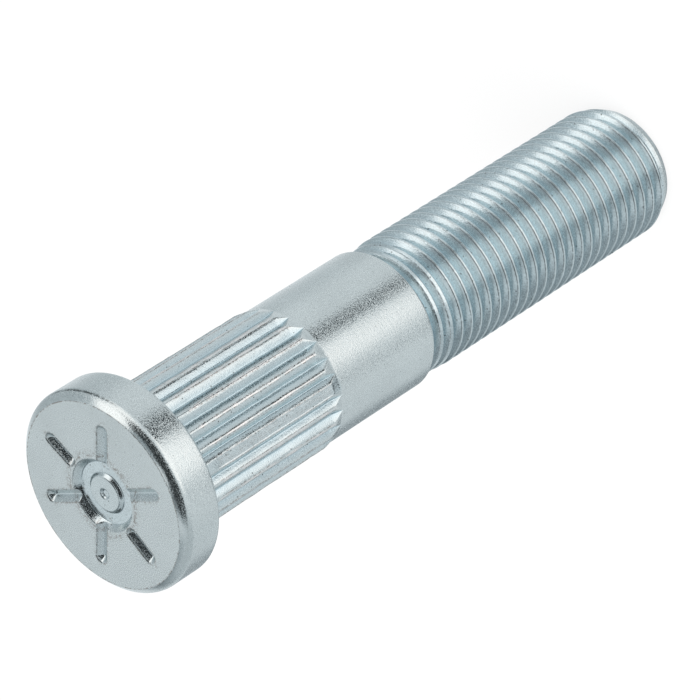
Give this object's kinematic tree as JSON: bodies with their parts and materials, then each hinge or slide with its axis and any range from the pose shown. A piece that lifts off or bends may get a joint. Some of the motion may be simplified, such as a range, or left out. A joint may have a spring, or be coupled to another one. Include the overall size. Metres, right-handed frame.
{
  "type": "drive-in wheel stud",
  "caption": "Wheel stud with a round flat head, a serrated band that presses into a hub, a plain shank and a fine thread for a wheel nut.",
  "frame": {"origin": "centre of the flat on the threaded end", "axes": "+Z along the axis, from the threaded end to the head; +X through the middle of a serration land"},
  "size_m": [0.0184, 0.0184, 0.0676],
  "materials": {
    "zinc_plate": "bright zinc plate, slightly blue, with a fine rolled grain"
  },
  "bodies": {
    "root": {"stud": "zinc_plate"}
  },
  "joints": []
}
